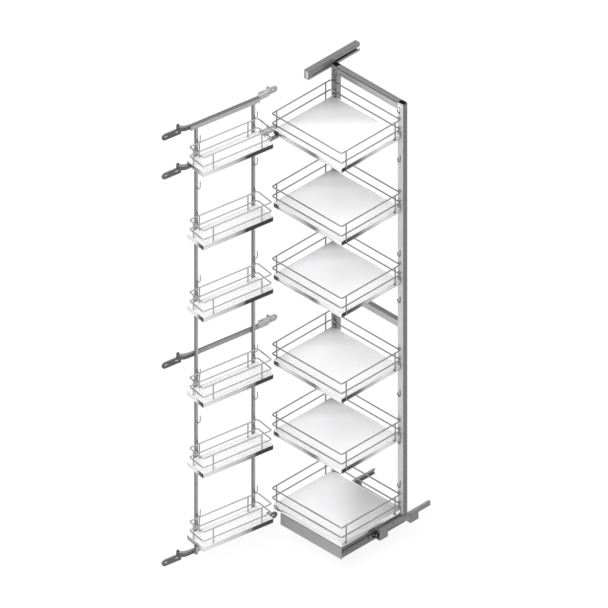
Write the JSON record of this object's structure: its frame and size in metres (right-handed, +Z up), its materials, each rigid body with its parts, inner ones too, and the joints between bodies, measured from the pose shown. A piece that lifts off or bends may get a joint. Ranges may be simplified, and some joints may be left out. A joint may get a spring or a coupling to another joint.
{
  "type": "pull out larder unit",
  "caption": "Tall pull-out larder: a frame of deep wire-railed trays on runners, linked to a door frame of narrow shelves that draws it out.",
  "frame": {"origin": "on the cabinet floor, on the underside of the front floor tie, under the middle of the deep trays when they are drawn out", "axes": "+X across the cabinet to the right as seen from the front, +Y into the cabinet, +Z up"},
  "size_m": [0.4631, 0.8179, 1.7915],
  "materials": {
    "frame_paint": "satin silver-grey powder coat",
    "carriage_paint": "satin grey powder coat on folded sheet",
    "zinc_steel": "bright zinc plate",
    "link_steel": "dark grey satin",
    "chrome_wire": "polished chrome plate",
    "tray_board": "white laminated board with a bright metal edge",
    "black_plastic": "black moulded plastic"
  },
  "bodies": {
    "cabinet_fixings": {"runner_channel_left": "zinc_steel", "runner_channel_right": "zinc_steel", "floor_tie_front": "zinc_steel", "floor_tie_rear": "zinc_steel", "top_guide_rail": "frame_paint"},
    "runner_cages": {"runner_middle_left": "zinc_steel", "runner_middle_right": "zinc_steel"},
    "pull_out": {"carriage": "carriage_paint", "runner_slide_left": "zinc_steel", "runner_slide_right": "zinc_steel", "frame_upright_left": "frame_paint", "frame_upright_right": "frame_paint", "frame_top_bar": "frame_paint", "frame_middle_bar": "frame_paint", "upright_cap_left": "black_plastic", "upright_cap_right": "black_plastic", "top_guide_slider": "zinc_steel", "deep_tray_1": "tray_board", "deep_tray_2": "tray_board", "deep_tray_3": "tray_board", "deep_tray_4": "tray_board", "deep_tray_5": "tray_board", "deep_tray_6": "tray_board", "deep_tray_rail_1": "chrome_wire", "deep_tray_rail_2": "chrome_wire", "deep_tray_rail_3": "chrome_wire", "deep_tray_rail_4": "chrome_wire", "deep_tray_rail_5": "chrome_wire", "deep_tray_rail_6": "chrome_wire"},
    "guide_roller_front": {"top_guide_roller_front": "black_plastic"},
    "guide_roller_rear": {"top_guide_roller_rear": "black_plastic"},
    "link": {"link_arm": "link_steel"},
    "door_frame": {"door_upright_hinge_side": "frame_paint", "door_upright_free_side": "frame_paint", "door_crossbar_1": "frame_paint", "door_crossbar_2": "frame_paint", "door_crossbar_3": "frame_paint", "door_crossbar_4": "frame_paint", "door_plate_1_hinge_side": "link_steel", "door_plate_1_free_side": "link_steel", "door_plate_2_hinge_side": "link_steel", "door_plate_2_free_side": "link_steel", "door_plate_3_hinge_side": "link_steel", "door_plate_3_free_side": "link_steel", "door_plate_4_hinge_side": "link_steel", "door_plate_4_free_side": "link_steel", "door_shelf_1": "tray_board", "door_shelf_2": "tray_board", "door_shelf_3": "tray_board", "door_shelf_4": "tray_board", "door_shelf_5": "tray_board", "door_shelf_6": "tray_board", "door_shelf_rail_1": "chrome_wire", "door_shelf_rail_2": "chrome_wire", "door_shelf_rail_3": "chrome_wire", "door_shelf_rail_4": "chrome_wire", "door_shelf_rail_5": "chrome_wire", "door_shelf_rail_6": "chrome_wire", "link_pin": "zinc_steel"}
  },
  "joints": [
    {"name": "door_swing", "type": "hinge", "parent": "cabinet_fixings", "child": "door_frame", "pos_m": [-0.216, -0.065, 0], "axis": [0, 0, 1], "range_deg": [0, 99]},
    {"name": "pull_out_slide", "type": "slide", "parent": "cabinet_fixings", "child": "pull_out", "axis": [0, 1, 0], "range_m": [0, 0.22]},
    {"name": "runner_cage_slide", "type": "slide", "parent": "cabinet_fixings", "child": "runner_cages", "axis": [0, 1, 0], "range_m": [0, 0.11]},
    {"name": "link_swing", "type": "hinge", "parent": "door_frame", "child": "link", "pos_m": [-0.17683, -0.2332, 1.5535], "axis": [0, 0, 1], "range_deg": [-80, 0]},
    {"name": "guide_roller_front_spin", "type": "hinge", "parent": "pull_out", "child": "guide_roller_front", "pos_m": [-0.1865, 0.05, 1.7143], "axis": [1, 0, 0], "continuous": true},
    {"name": "guide_roller_rear_spin", "type": "hinge", "parent": "pull_out", "child": "guide_roller_rear", "pos_m": [-0.1865, 0.15, 1.7143], "axis": [1, 0, 0], "continuous": true}
  ],
  "couplings": [
    {"joint": "pull_out_slide", "follows": "door_swing", "m_per_rad": 0.1271},
    {"joint": "runner_cage_slide", "follows": "door_swing", "m_per_rad": 0.06355},
    {"joint": "link_swing", "follows": "door_swing", "ratio": -0.8012}
  ]
}
